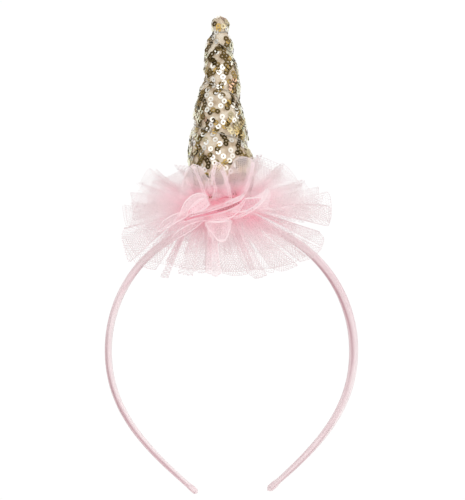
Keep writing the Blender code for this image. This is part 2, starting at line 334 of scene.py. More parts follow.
# %% [markdown]
# Every cloth here starts as a flat grid. These helpers cut it, lay its points in their new places and keep each
# point's place on the flat cloth as a UV, which the finish needs for its threads and holes.

# %% Helpers for cloth


def select_only(*pieces):
    """Selects these pieces alone and makes the last of them the active one."""
    bpy.ops.object.select_all(action="DESELECT")
    for piece in pieces:
        piece.select_set(True)
    bpy.context.view_layer.objects.active = pieces[-1]


def finish_cloth(piece, material, flat_points):
    """Gives the cloth its finish, and a UV map that holds each point's place on the flat cloth."""
    piece.data.materials.append(material)
    select_only(piece)
    bpy.ops.object.shade_smooth()
    layer = piece.data.uv_layers[0]
    layer.name = "cloth"
    corners = np.empty(len(piece.data.loops), dtype=np.int32)
    piece.data.loops.foreach_get("vertex_index", corners)
    layer.data.foreach_set("uv", np.asarray(flat_points, dtype=np.float32)[corners].ravel())


def cut_cloth(name, across, along):
    """A grid of cloth with this many points each way, and the column and row of each of its points."""
    bpy.ops.mesh.primitive_grid_add(x_subdivisions=across - 1, y_subdivisions=along - 1, size=2)
    cloth = bpy.context.object
    cloth.name = cloth.data.name = name
    points = np.empty(len(cloth.data.vertices) * 3, dtype=np.float32)
    cloth.data.vertices.foreach_get("co", points)
    points = points.reshape(-1, 3)
    columns = np.rint((points[:, 0] + 1) / 2 * (across - 1)).astype(int)
    rows = np.rint((points[:, 1] + 1) / 2 * (along - 1)).astype(int)
    return cloth, columns, rows


def lay_cloth(cloth, places):
    """Moves the cloth's points to their new places."""
    cloth.data.vertices.foreach_set("co", np.asarray(places, dtype=np.float32).ravel())
    cloth.data.update()


def area_of(piece):
    return sum(face.area for face in piece.data.polygons)


def store_colours(mesh, layer, colours):
    """Stores a colour at each point of a mesh."""
    attribute = mesh.color_attributes.new(layer, "FLOAT_COLOR", "POINT")
    attribute.data.foreach_set("color", np.asarray(colours, dtype=np.float32).ravel())


print("cloth helpers ready")

# %% [markdown]
# The rows are laid along the band and the columns go once round it, with the lap on top of where they began.

# %% Lay the ribbon round the band
ribbon, columns, rows = cut_cloth("ribbon_wrap", RIBBON_AROUND + 1, RIBBON_ROWS + 1)
lap_share = LAP / RIBBON_ROUND
places, flat_points, folds = [], [], []
for column, row in zip(columns, rows):
    along = -1 + RIBBON_REACH * row / RIBBON_ROWS
    middle, outward = band_frame(along)
    around = column / RIBBON_AROUND * (1 + lap_share)
    over = max(0.0, around - 1) / lap_share
    lift = RIBBON_WALL * 1.5 * min(1.0, over * 4) if around > 1 else 0.0
    drift_of_lap = 0.045 * math.sin(along * 5.2 + 0.8) + 0.02
    out, y = ribbon_section(around - lap_share / 2 + drift_of_lap, lift, along)
    wrinkle = 0.04 * MM * math.sin(along * 150 + 3 * math.sin(around * 9)) * math.sin(around * 12 + along * 40)
    front = 1.0 if y < 0 else 0.0
    off_crease = (out / MM - read_rows(CREASE, along, 1)) / CREASE_HALF_WIDE
    crease = math.exp(-(off_crease**2)) * read_rows(CREASE, along, 2)
    y += 0.30 * MM * crease * front
    edge_side = -1 if along < 0 else 1
    # painted highlight: paler along the inner edge of the left arm and the outer edge of the right arm, away from
    # the crown
    satin_painted_highlight = min(1.0, max(0.0, (edge_side * out / MM - 0.1) / 1.3)) * min(1.0, max(0.0, abs(along) - 0.15) * 4)
    # painted shade: a darker, duller patch on the right arm near its top
    painted_grey_shade = math.exp(-(((along - 0.34) / 0.10) ** 2))
    place = middle + outward * (out + math.copysign(wrinkle, out))
    places.append((place.x, y, place.y))
    flat_points.append((along * RIBBON_HALF_LONG, around * RIBBON_ROUND))
    # red is painted shade: dark in the crease, most on the front, and on the dull patch
    red = min(1.0, crease * (0.35 + 0.65 * front) + 0.14 * painted_grey_shade)
    folds.append((red, 0.85 * satin_painted_highlight * (1 - crease) * (1 - painted_grey_shade), 0.0, 1.0))
lay_cloth(ribbon, places)
store_colours(ribbon.data, "fold", folds)
finish_cloth(ribbon, satin, flat_points)
print("ribbon area", round(area_of(ribbon), 5))
wall = ribbon.modifiers.new("wall", "SOLIDIFY")
wall.thickness = RIBBON_WALL
wall.offset = 0
bpy.ops.object.modifier_apply(modifier="wall")
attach(ribbon, "root")
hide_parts("headband")

# %% [markdown]
# The ribbon's ends are tucked over the tips of the core and glued. The left one ends round and the right one
# is pressed into a flat leaf. Each is a cube that is stretched to size, bevelled until it is soft, and then
# subdivided once, which is how a small pillowy shape is made by hand.

# %% Ribbon tucked over the tips


def tuck_tip(name, sign, length, thick, deep, profile, beyond):
    """A pillow of ribbon that ends this far beyond the tip. Its profile gives its fullness along it."""
    middle = band_middle(sign)
    along = (middle - band_middle(sign * 0.97)).normalized()
    bpy.ops.mesh.primitive_cube_add(size=1)
    tuck = bpy.context.object
    tuck.name = tuck.data.name = name
    bpy.ops.object.mode_set(mode="EDIT")
    bpy.ops.mesh.select_all(action="SELECT")
    bpy.ops.transform.resize(value=(thick, deep, length))
    bpy.ops.mesh.bevel(offset=min(thick, deep) * 0.46, segments=4, profile=0.5)
    bpy.ops.mesh.select_all(action="SELECT")
    bpy.ops.mesh.subdivide(number_cuts=1, smoothness=0.3)
    bpy.ops.object.mode_set(mode="OBJECT")
    tilt = math.atan2(along.x, along.y)
    centre = middle - along * (length * 0.5 - beyond)
    for vertex in tuck.data.vertices:
        p = vertex.co
        fullness = read_rows(profile, p.z / length + 0.5, 1)
        x, z = p.x * fullness, p.z
        vertex.co = (
            centre.x + x * math.cos(tilt) + z * math.sin(tilt),
            p.y * fullness,
            centre.y - x * math.sin(tilt) + z * math.cos(tilt),
        )
    uv_layer = tuck.data.uv_layers[0]
    uv_layer.name = "cloth"
    for loop in tuck.data.loops:
        p = tuck.data.vertices[loop.vertex_index].co
        uv_layer.data[loop.index].uv = (p.z, p.x + p.y)
    tuck.data.materials.append(satin)
    bpy.ops.object.shade_smooth()
    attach(tuck, "root")
    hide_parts("headband")
    return tuck


# share of the way to the end, share of the full width there
ROUND_END = ((0.0, 0.74), (0.4, 0.98), (0.7, 1.0), (0.9, 0.86), (1.0, 0.55))
LEAF_END = ((0.0, 0.55), (0.3, 0.78), (0.6, 1.0), (0.8, 0.92), (0.92, 0.68), (1.0, 0.34))
left_tuck = tuck_tip("ribbon_tuck_left", -1, 7.5 * MM, 3.2 * MM, 4.9 * MM, ROUND_END, 1.0 * MM)
right_tuck = tuck_tip("ribbon_tuck_right", 1, 10 * MM, 3.9 * MM, 5.0 * MM, LEAF_END, -0.9 * MM)
print("tips tucked", len(left_tuck.data.polygons), len(right_tuck.data.polygons))

# %% [markdown]
# The horn is a cone of sequin cloth, sewn up, stuffed and wound with thread. The thread draws in a spiral that
# runs down from left to right across the front. A sphere whose rings are moved to the horn's outline gives a
# closed stuffed shape with even faces, and the same height and radius functions later place the sequins.

# %% The horn's outline
HORN_TALL = 105.2 * MM
HORN_RADIUS = 18.3 * MM
HORN_FOOT = BAND_THICK + 0.3 * MM
HORN_X = -5.9 * MM
PITCH = 23.2 * MM
GROOVE_TURN = math.radians(227)
CLOTH_INSET = 0.75 * MM
# height up the horn, and the radius there, as shares of the horn's height and largest radius
OUTLINE = (
    (0.00, 0.800), (0.03, 0.930), (0.09, 1.000), (0.20, 0.985), (0.29, 0.935), (0.485, 0.755), (0.68, 0.545),
    (0.80, 0.445), (0.865, 0.385), (0.895, 0.300), (0.915, 0.250), (0.945, 0.262), (0.972, 0.222),
    (0.990, 0.125), (1.00, 0.000),
)
# how far the stuffing leans the horn to one side, in millimetres, at shares of its height
LEAN = ((0.0, -0.6), (0.1, -1.2), (0.28, 0.3), (0.48, -0.6), (0.68, 0.7), (0.86, 0.1), (0.955, 0.1), (1.0, 0.1))


def along_table(rows, at):
    """A smooth reading of a table of (place, value) rows."""
    last = len(rows) - 1
    i = next((k for k in range(last) if at <= rows[k + 1][0]), last - 1)
    (x0, y0), (x1, y1), (x2, y2), (x3, y3) = (rows[min(max(i + k, 0), last)] for k in (-1, 0, 1, 2))
    t = (at - x1) / (x2 - x1)
    m1 = (y2 - y0) / (x2 - x0) * (x2 - x1)
    m2 = (y3 - y1) / (x3 - x1) * (x2 - x1)
    first = (2 * t**3 - 3 * t**2 + 1) * y1 + (t**3 - 2 * t**2 + t) * m1
    return first + (3 * t**2 - 2 * t**3) * y2 + (t**3 - t**2) * m2


def horn_radius(height, angle):
    """The cloth's radius at a height above the horn's foot and an angle round it."""
    share = min(max(height / HORN_TALL, 0.0), 1.0)
    plain = max(0.0, HORN_RADIUS * along_table(OUTLINE, share))
    turns = height / PITCH + (angle - GROOVE_TURN) / (2 * math.pi)
    off = (turns - round(turns)) * PITCH
    slim = min(1.0, plain / (0.4 * HORN_RADIUS)) * min(1.0, height / (1.2 * PITCH))
    groove = 1.5 * MM * math.exp(-((off / (2.8 * MM)) ** 2)) * slim
    belly = 0.3 * MM * math.cos(2 * math.pi * off / PITCH) * slim
    lumps = 0.35 * MM * math.sin(3 * angle + height * 190) * math.sin(height * 140 + 2 * angle + 1.0) * slim
    creases = 0.22 * MM * math.sin(11 * angle + height * 300) * math.exp(-((off / (5 * MM)) ** 2)) * slim
    return max(0.0, plain - groove - belly * 0.6 + lumps + creases - CLOTH_INSET * min(1.0, share * 30))


def crown_fall(x):
    """How far the top of the band has fallen below the crown at this X."""
    rise = BAND_RISE + BAND_THICK / 2
    return rise * (1 - math.sqrt(max(0.0, 1 - (x / (BAND_WIDTH / 2)) ** 2)))


def horn_middle(height):
    """The X of the horn's middle line at this height."""
    return HORN_X + along_table(LEAN, min(max(height / HORN_TALL, 0.0), 1.0)) * MM


def horn_point(height, angle, proud=0.0):
    """A point on the horn's cloth, or a little proud of it."""
    radius = horn_radius(height, angle) + proud
    return Vector((horn_middle(height) + radius * math.cos(angle), radius * math.sin(angle), HORN_FOOT + height))


def horn_normal(height, angle):
    """The direction in which the horn's cloth faces here."""
    up = horn_point(height + 0.3 * MM, angle) - horn_point(height - 0.3 * MM, angle)
    round_it = horn_point(height, angle + 0.02) - horn_point(height, angle - 0.02)
    return round_it.cross(up).normalized()


print("radius at the foot and half way", horn_radius(0.01, 0), horn_radius(0.05, 0))

# %% [markdown]
# Between the sequins one sees the cloth that they are sewn to: a fine beige net over a backing. Its threads
# are far finer than a pixel, so a small checked bump and a slow stain of lighter and darker beige are enough.
# The foot, where the ruffles are sewn on, is lined with pink, so that nothing beige shows between their seams.

# %% Beige net and the stuffed horn
LINING_TOP, BEIGE_FROM = HORN_FOOT + 11.5 * MM, HORN_FOOT + 13.5 * MM
beige, tree, shader = new_material("beige_net_cloth")
at = add_node(tree, "ShaderNodeTexCoord").outputs["Object"]
stain = add_node(tree, "ShaderNodeTexNoise", n0=at, Scale=260.0, Detail=3.0).outputs["Fac"]
weave = add_node(tree, "ShaderNodeTexVoronoi", n0=at, Scale=1900.0)
shade = ramp(tree, stain, [(0.32, (0.44, 0.325, 0.21)), (0.5, (0.67, 0.56, 0.42)), (0.7, (0.81, 0.73, 0.60))])
height = add_node(tree, "ShaderNodeSeparateXYZ", n0=at).outputs["Z"]
above_foot = add_node(tree, "ShaderNodeMapRange", n0=height, n1=LINING_TOP, n2=BEIGE_FROM, n3=0.0, n4=1.0)
bump = add_node(tree, "ShaderNodeBump", Strength=0.6, Distance=0.0002, Height=weave.outputs["Distance"])
set_inputs(tree, shader, {
    "Base Color": blend(tree, above_foot.outputs[0], (0.90, 0.60, 0.66, 1), shade),
    "Roughness": 0.7,
    "Sheen Weight": 0.3,
    "Normal": bump.outputs[0],
})

HORN_SEGMENTS, HORN_RINGS = 96, 150
bpy.ops.mesh.primitive_uv_sphere_add(segments=HORN_SEGMENTS, ring_count=HORN_RINGS, radius=1)
horn = bpy.context.object
horn.name = horn.data.name = "stuffed_horn"
fine = [(0.0, 0.0)] + [(k / 600, along_table(OUTLINE, k / 600)) for k in range(601)]
sized = [(height * HORN_TALL, radius * HORN_RADIUS) for height, radius in fine]
lengths = np.concatenate([[0], np.cumsum([math.dist(a, b) for a, b in zip(sized, sized[1:])])])
for vertex in horn.data.vertices:
    from_foot = round(math.acos(max(-1.0, min(1.0, -vertex.co.z))) / math.pi * HORN_RINGS) / HORN_RINGS
    target = from_foot * lengths[-1]
    share, wide = (float(np.interp(target, lengths, column)) for column in zip(*fine))
    wide /= max(along_table(OUTLINE, share), 1e-6)
    angle = math.atan2(vertex.co.y, vertex.co.x)
    height = share * HORN_TALL
    point = horn_point(height, angle)
    axis = Vector((point.x - horn_radius(height, angle) * math.cos(angle), 0, point.z))
    point = axis + (point - axis) * min(1.0, wide)
    follow = max(0.0, 1 - height / (3 * MM))
    point.z -= crown_fall(point.x) * follow
    vertex.co = point
bpy.ops.object.shade_smooth()
horn.data.materials.append(beige)
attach(horn, "root")
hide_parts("horn")
print("horn", len(horn.data.polygons), "faces")

# %% [markdown]
# The sequins are flat gold rings, 2.85 mm across with a 1 mm hole, slightly cupped, and sewn on in wandering
# chains in which each overlaps the last. Modelling one and copying it hundreds of times keeps it simple: a
# circle is filled by extruding it inwards once, and its inner edge is pushed down to make the cup. The chains
# are planned on the flat piece of cloth from which the cone was cut, so they wander as they do in the shop.

# %% One sequin
SEQUIN_ACROSS = 2.85 * MM
SEQUIN_HOLE = 1.0 * MM
CUP_SHARE = 0.72
bpy.ops.mesh.primitive_circle_add(vertices=14, radius=SEQUIN_ACROSS / 2)
pattern = bpy.context.object
pattern.name = "sequin_pattern"
bpy.ops.object.mode_set(mode="EDIT")
bpy.ops.mesh.select_all(action="SELECT")
bpy.ops.mesh.extrude_region_move()
bpy.ops.transform.resize(value=(CUP_SHARE, CUP_SHARE, 1))
bpy.ops.transform.translate(value=(0, 0, -0.025 * MM))
bpy.ops.mesh.extrude_region_move()
bpy.ops.transform.resize(value=(SEQUIN_HOLE / SEQUIN_ACROSS / CUP_SHARE,) * 2 + (1,))
bpy.ops.transform.translate(value=(0, 0, -0.02 * MM))
bpy.ops.mesh.select_all(action="SELECT")
bpy.ops.mesh.normals_make_consistent(inside=False)
bpy.ops.object.mode_set(mode="OBJECT")
ring_points = np.array([v.co[:] for v in pattern.data.vertices])
ring_faces = [list(f.vertices) for f in pattern.data.polygons]
up = sum((f.normal * f.area for f in pattern.data.polygons), Vector())
if up.z < 0:
    ring_faces = [face[::-1] for face in ring_faces]
bpy.data.objects.remove(pattern)
print("one sequin has", len(ring_faces), "faces")

# %% [markdown]
# Polished gold film is a metal with a low roughness. Every ring carries its own colour as an attribute. Gold, deep
# gold, olive brown and a few of copper are the rings' own tones, though drawing the dark ones more half way round
# the horn paints shade. The near-white tone is a painted highlight, a ring flashing in the lamp, and the pale cream
# at the sides is painted light. The attribute's fourth number is the roughness. The pale ones are a little rougher,
# so they catch the lamp over a wider range of turns.

# %% Gold film
gold, tree, shader = new_material("gold_sequin_film")
tone = add_node(tree, "ShaderNodeVertexColor", {"layer_name": "tone"})
set_inputs(tree, shader, {
    "Base Color": tone.outputs["Color"],
    "Roughness": tone.outputs["Alpha"],
    "Metallic": 1.0,
    "Coat Weight": 0.15,
    "Coat Roughness": 0.12,
})

# colour and roughness
TONES = {
    # painted highlight: near-white, for a ring that flashes in the lamp
    "champagne": ((1.0, 0.97, 0.90), 0.55),
    "gold": ((0.66, 0.57, 0.36), 0.4),
    "deep_gold": ((0.52, 0.40, 0.19), 0.4),
    "olive": ((0.15, 0.10, 0.032), 0.2),
    "brown": ((0.27, 0.18, 0.055), 0.2),
    "copper": ((0.46, 0.29, 0.19), 0.2),
    # painted light: a pale cream for the rings at the horn's sides
    "pale_green": ((0.88, 0.87, 0.68), 0.2),
}
# how often each tone is drawn on the front and back, half way round and at the sides, which paints a highlight
# in front and behind, shade half way round and pale light at the sides
MIX_FRONT = {"champagne": 62, "gold": 5, "deep_gold": 7, "olive": 22, "brown": 20, "copper": 4}
MIX_HALF_WAY = {"champagne": 8, "gold": 8, "deep_gold": 10, "olive": 44, "brown": 28, "copper": 2}
MIX_SIDE = {"champagne": 22, "gold": 10, "deep_gold": 5, "olive": 3, "brown": 3, "pale_green": 57}
# painted shade: dark tones only, drawn low down under the veils of tulle
MIX_PAINTED_SHADE_LOW = ("brown", "olive", "brown", "copper")
print(len(TONES), "tones of gold")

# %% [markdown]
# The tone of a chain changes every few sequins, in runs. The tone is drawn by where the chain lies round the
# horn, which paints light and shade: more near-white highlight on the front and back, more dark shade between,
# pale light at the sides, and only dark ones low down as painted shade under the veils. Two pale ones never touch,
# so that each shows as a ring. Then single pale sequins fill what the chains leave bare on the front and back.
# None is sewn under the tulle's seam.

# %% Sew the sequins on in chains
draw = random.Random(11)
CHAIN_SPACING = 1.95 * MM
CHAIN_STEP = 1.5 * MM
FLAT_STEP = 2.6 * MM
PALE_APART = 2.6 * MM
FILL_APART = 2.0 * MM
FILL_TRIES = 6000
FILL_HALF_WIDE = 0.62
LEFT_OUT = 0.07
UNDER_VEILS = 23 * MM
SLANT = 0.09  # how much longer the cloth is from tip to foot than the horn is tall
reach = HORN_TALL * (1 + SLANT)
cone_sine = HORN_RADIUS / reach
fan = 2 * math.pi * cone_sine


def pick_tone(angle):
    """A tone for a sequin at this angle round the horn."""
    aside = abs(math.sin(angle + math.pi / 2))
    # painted light and shade: the mix depends on where the ring lies round the horn
    mix = MIX_FRONT if aside < 0.55 else MIX_HALF_WAY if aside < 0.84 else MIX_SIDE
    return draw.choices(list(mix), list(mix.values()))[0]


def place_on_horn(across, down):
    """Height and angle on the horn of a place on the flat cloth, and whether a sequin is sewn there."""
    rho, theta = math.hypot(across, down), math.atan2(across, down) + fan / 2
    height = reach - rho - SLANT * HORN_TALL * (rho / reach)
    angle = (theta / cone_sine + math.pi / 2) % (2 * math.pi)
    lowest = (12.2 + 1.0 * math.sin(angle)) * MM
    return height, angle, 0 <= theta < fan and lowest < height < HORN_TALL - 1.2 * MM


def nearest(place, others):
    return min(math.dist(place, other) for other in others)


sequins, places, pale_places = [], [], []
x = -reach
while x < reach:
    phase, sway = draw.uniform(0, 6.28), draw.uniform(0.8, 1.5) * MM
    y, last = -reach * 0.2, None
    run_left, tone_run = 0, "gold"
    while y < reach:
        wander = x + sway * math.sin(y / (1.5 * MM) + phase) + 0.6 * MM * math.sin(y / (3.7 * MM) + 2 * phase)
        here = (wander, y)
        if last is None or math.dist(here, last) >= (FLAT_STEP if tone_run == "champagne" else CHAIN_STEP):
            height, angle, sewn_on = place_on_horn(*here)
            if sewn_on and draw.random() > LEFT_OUT:
                if run_left <= 0:
                    # painted shade: below the veils the tone is drawn from dark ones only
                    tone_run = pick_tone(angle) if height > UNDER_VEILS else draw.choice(MIX_PAINTED_SHADE_LOW)
                    run_left = draw.choice((1, 1, 2, 3, 4))
                if tone_run == "champagne":
                    if any(math.dist(here, place) < PALE_APART for place in pale_places):
                        run_left, last = 0, here
                        continue
                    pale_places.append(here)
                heading = (wander - (last[0] if last else wander), y - (last[1] if last else y - 1))
                sequins.append((height, angle, heading, tone_run))
                places.append(here)
                run_left -= 1
            last = here
        y += 0.1 * MM
    x += CHAIN_SPACING
chained = len(sequins)
for _ in range(FILL_TRIES):
    rho, theta = reach * math.sqrt(draw.random()), fan * (draw.random() - 0.5)
    here = (rho * math.sin(theta), rho * math.cos(theta))
    height, angle, sewn_on = place_on_horn(*here)
    if not sewn_on or height < UNDER_VEILS or abs(math.cos(angle)) > FILL_HALF_WIDE:
        continue
    if nearest(here, places) > FILL_APART and nearest(here, pale_places) > PALE_APART:
        sequins.append((height, angle, (draw.gauss(0, 1), 1.0), "champagne"))
        places.append(here)
        pale_places.append(here)
print(chained, "sequins in chains,", len(sequins) - chained, "alone")

# %% [markdown]
# No sequin lies quite flat. Each lifts at its leading edge and rolls a little to one side, the pale ones least,
# so that it catches the lamp on its own. All of them become one mesh that stores a tone at each point.

# %% Tilt the sequins and join them
all_points, all_faces, tones = [], [], []
for height, angle, heading, tone in sequins:
    colour, rough = TONES[tone]
    normal = horn_normal(height, angle)
    centre = horn_point(height, angle, 0.45 * MM)
    upward = (Vector((0, 0, 1)) - normal * normal.z).normalized()
    side = upward.cross(normal)
    lead = (side * heading[0] - upward * heading[1]).normalized()
    across = normal.cross(lead)
    calm = 0.15 if tone == "champagne" else 1.0
    tip_up = math.radians(draw.uniform(3, 14)) * calm
    roll = math.radians(draw.gauss(0, 7)) * calm
    tilted = (normal * math.cos(tip_up) - lead * math.sin(tip_up)).normalized()
    tilted = (tilted * math.cos(roll) + across * math.sin(roll)).normalized()
    e1 = (lead - tilted * lead.dot(tilted)).normalized()
    e2 = tilted.cross(e1)
    basis = np.array([e1[:], e2[:], tilted[:]])
    shade_up = draw.uniform(0.88, 1.1)
    start = len(all_points) * len(ring_points)
    all_points.append(ring_points @ basis + np.array(centre[:]))
    all_faces.extend([[start + k for k in face] for face in ring_faces])
    tones.extend([[*(min(1.0, c * shade_up) for c in colour), rough]] * len(ring_points))
mesh = bpy.data.meshes.new("sequins")
mesh.from_pydata(np.concatenate(all_points).tolist(), [], all_faces)
store_colours(mesh, "tone", tones)
sequin_coat = bpy.data.objects.new("sequins", mesh)
scene.collection.objects.link(sequin_coat)
mesh.materials.append(gold)
select_only(sequin_coat)
bpy.ops.object.shade_smooth()
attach(sequin_coat, "root")
print("sequin coat", len(mesh.polygons), "faces")

# %% [markdown]
# A thin grey-gold thread is tied round the neck and wound down the horn in the groove that it makes. It is a
# poly curve with a round bevel, whose points are read from the horn's own surface, and it is made a mesh at
# the end so that it can be laid at the origin like the other pieces.

# %% The winding thread
KNOT_HEIGHT = 96.0 * MM
THREAD_END = 12 * MM
KNOT_POINTS, WINDING_POINTS = 40, 300
thread_look, tree, shader = new_material("winding_thread")
at = add_node(tree, "ShaderNodeTexCoord").outputs["Object"]
twist = add_node(tree, "ShaderNodeTexNoise", n0=at, Scale=2400.0).outputs["Fac"]
bump = add_node(tree, "ShaderNodeBump", Strength=0.5, Distance=0.0001, Height=twist)
set_inputs(tree, shader, {
    "Base Color": ramp(tree, twist, [(0.35, (0.30, 0.27, 0.22)), (0.65, (0.55, 0.51, 0.44))]),
    "Roughness": 0.55,
    "Normal": bump.outputs[0],
})


def groove_angle(height):
    return GROOVE_TURN + 2 * math.pi * (4 - height / PITCH)


thread_points = []
for k in range(KNOT_POINTS):
    height, angle = KNOT_HEIGHT + 0.35 * MM * math.sin(k * 0.9), groove_angle(KNOT_HEIGHT) - 0.32 * (KNOT_POINTS - k)
    thread_points.append(horn_point(height, angle, 0.35 * MM))
for k in range(WINDING_POINTS):
    height = KNOT_HEIGHT - k / WINDING_POINTS * (KNOT_HEIGHT - THREAD_END)
    thread_points.append(horn_point(height, groove_angle(height), 0.75 * MM))
route = bpy.data.curves.new("winding_thread", "CURVE")
route.dimensions = "3D"
spline = route.splines.new("POLY")
spline.points.add(len(thread_points) - 1)
for point, place in zip(spline.points, thread_points):
    point.co = (*place, 1)
route.bevel_depth = 0.2 * MM
route.bevel_resolution = 1
route.use_fill_caps = True
thread = bpy.data.objects.new("winding_thread", route)
scene.collection.objects.link(thread)
select_only(thread)
bpy.ops.object.convert(target="MESH")
thread = bpy.context.object
thread.data.materials.append(thread_look)
bpy.ops.object.shade_smooth()
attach(thread, "root")
print("thread", len(thread.data.polygons), "faces")

# %% [markdown]
# Tulle is a net of six-sided holes. They are 1.4 mm apart here, a little wider than real ones, so that they still
# show at the picture's size. One spread layer is nearly clear, and a gathered
# one is strong in colour, because its threads crowd together. Three cosine waves, 60 degrees apart on the
# cloth's own UV map, peak at the middle of each hole. Where their sum is low there is thread, and the rest is
# clear. Nylon thread glows when light comes from behind, so half of its light goes through it. A colour
# attribute called "gather" says in red how crowded the threads are: high at the seam, on the creases of the
# folds and along the cut edge, where the threads are drawn wider.
# Its green says how deep in the ruff the cloth lies, where the net is painted pinker, as painted light for light
# that has passed other folds. Its blue says how far out the cloth stands alone, where the net is painted greyer,
# as painted shade for threads seen against the light.

# %% Pink tulle
NET_PITCH = 1.4 * MM
NET_TURNS = (30, 90, 150)


def make_tulle(name, crowded, spread, lone, painted_glow):
    """Net with these thread colours: deep in the ruff (painted light), lying spread, and standing alone (painted
    shade); glow is a painted pink glow.
    """
    material, tree, shader = new_material(name)
    uv, gather = cloth_uv(tree), channels(tree, "gather")
    waves = []
    for turn in NET_TURNS:
        scale = 2 * math.pi / (NET_PITCH * math.cos(math.radians(30)))
        direction = (scale * math.cos(math.radians(turn)), scale * math.sin(math.radians(turn)), 0.0)
        dot = add_node(tree, "ShaderNodeVectorMath", {"operation": "DOT_PRODUCT"}, n0=uv, n1=direction)
        waves.append(add_node(tree, "ShaderNodeMath", {"operation": "COSINE"}, n0=dot.outputs["Value"]).outputs[0])
    pair = add_node(tree, "ShaderNodeMath", {"operation": "ADD"}, n0=waves[0], n1=waves[1])
    whole = add_node(tree, "ShaderNodeMath", {"operation": "ADD"}, n0=pair.outputs[0], n1=waves[2])
    edge = add_node(tree, "ShaderNodeMapRange", {"clamp": False}, n0=gather["Red"], n1=0.0, n2=1.0, n3=-1.15, n4=1.6)
    above = add_node(tree, "ShaderNodeMath", {"operation": "SUBTRACT"}, n0=edge.outputs[0], n1=whole.outputs[0])
    net = add_node(tree, "ShaderNodeMapRange", n0=above.outputs[0], n1=-0.12, n2=0.12, n3=0.0, n4=1.0)
    # painted light and shade: pinker deep in the ruff, greyer where the cloth stands alone
    shade = ramp(tree, gather["Green"], [(0.0, spread), (1.0, crowded)])
    colour = blend(tree, gather["Blue"], shade, (*lone, 1))
    set_inputs(tree, shader, {
        "Base Color": colour,
        "Roughness": 0.8,
        "Specular IOR Level": 0.25,
        # painted light: a faint pink glow of the thread's own, though it is no lamp
        "Emission Color": (1.0, 0.30, 0.42, 1),
        "Emission Strength": painted_glow,
    })
    lit_through = add_node(tree, "ShaderNodeBsdfTranslucent", Color=colour)
    thread = add_node(tree, "ShaderNodeMixShader", n0=0.5, n1=shader.outputs[0], n2=lit_through.outputs[0])
    hole = add_node(tree, "ShaderNodeBsdfTransparent")
    cloth = add_node(tree, "ShaderNodeMixShader", n0=net.outputs[0], n1=hole.outputs[0], n2=thread.outputs[0])
    set_inputs(tree, tree.nodes["Material Output"], {"Surface": cloth.outputs[0]})
    return material


tulle = make_tulle("pink_tulle_net", (1.0, 0.80, 0.85), (0.99, 0.935, 0.95), (0.77, 0.705, 0.71), 0.08)
# painted shade: darker copies of the net for the slit, its mouth and the pocket, and the darkest for inside the slit
shaded_tulle = make_tulle("pink_tulle_in_shade", (0.84, 0.40, 0.49), (1.0, 0.93, 0.94), (0.78, 0.69, 0.70), 0.0)
deepest_shade_tulle = make_tulle("pink_tulle_in_deepest_shade", (0.50, 0.20, 0.21), (0.80, 0.50, 0.53), (0.60, 0.50, 0.50), 0.0)


def crowd_threads(cloth, crowded, deep, alone):
    """Stores at each point how crowded the threads are, how deep they lie and how alone, from 0 to 1.

    Above 1 they are crowded so much that the holes close up, as they do in a folded hem.
    """
    colours = np.stack([crowded, deep, alone, np.ones(len(crowded))], axis=1)
    store_colours(cloth.data, "gather", np.clip(colours, 0.0, (1.6, 1.0, 1.0, 1.0)))


print("tulle made")

# %% [markdown]
# Each ruffle is one long strip of tulle, gathered along one edge until it goes just round the horn. Gathering
# leaves the far edge much longer than the circle that it has to lie on, so it swings to and fro in deep folds
# with flat faces, as a box pleat does. The strip starts as a flat grid. Every point keeps its place on the
# strip as its UV, and is laid out by an angle round the horn, a share of the way out, and a swing of its fold.

# %% Gather a strip into a ruffle


def read_fan(rows, azimuth):
    """Elevation in degrees and length share at an azimuth in degrees, eased between the rows of a table."""
    azimuth %= 360
    around = list(rows) + [(rows[0][0] + 360, *rows[0][1:])]
    i = next(k for k in range(len(around) - 1) if azimuth <= around[k + 1][0])
    a, b = around[i], around[i + 1]
    t = ease((azimuth - a[0]) / (b[0] - a[0]))
    return a[1] + (b[1] - a[1]) * t, a[2] + (b[2] - a[2]) * t


def distances(points):
    """How far along a line of points each of them lies."""
    return np.concatenate([[0], np.cumsum(np.linalg.norm(np.diff(points, axis=0), axis=1))])


def as_grid(places, columns, rows):
    """The cloth's places by row and column, and its width from seam to rim at each column."""
    grid = np.zeros((rows.max() + 1, columns.max() + 1, 3))
    grid[rows, columns] = places
    return grid, np.linalg.norm(np.diff(grid, axis=0), axis=2).sum(axis=0)


def ease(t):
    return t * t * (3 - 2 * t)


# the strip starts behind the horn and laps 6 degrees over its own start
SEAM_START, SEAM_TURN = 88.0, 366.0
UP = np.array([0, 0, 1.0])


